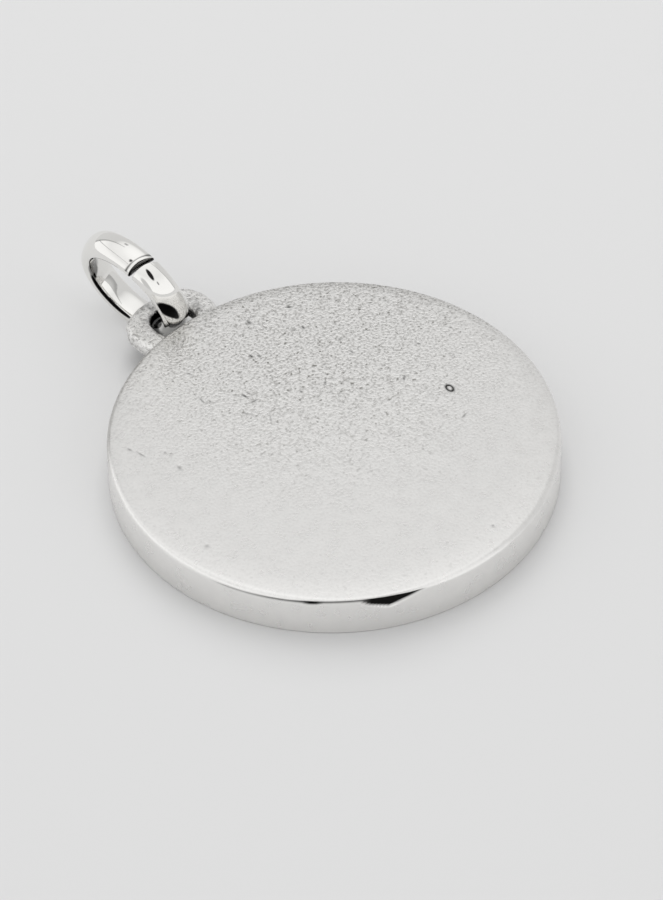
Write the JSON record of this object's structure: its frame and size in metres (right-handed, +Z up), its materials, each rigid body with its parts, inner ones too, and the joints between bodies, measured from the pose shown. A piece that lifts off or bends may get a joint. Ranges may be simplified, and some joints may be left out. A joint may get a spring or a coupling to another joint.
{
  "type": "religious medal pendant",
  "caption": "Round medal with a plain back, a cast ear in line with its rim and an open jump ring through the ear, lying on its front.",
  "frame": {"origin": "centre of the medal's flat front, which lies on the surface", "axes": "+Y from the medal's middle to its ear, +Z up out of the plain back, +X across"},
  "size_m": [0.022, 0.0282, 0.0062],
  "materials": {
    "cast_silver": "tumbled cast silver, satin with a fine grain",
    "polished_silver": "polished silver"
  },
  "bodies": {
    "root": {"medal": "cast_silver", "jump_ring": "polished_silver"}
  },
  "joints": []
}
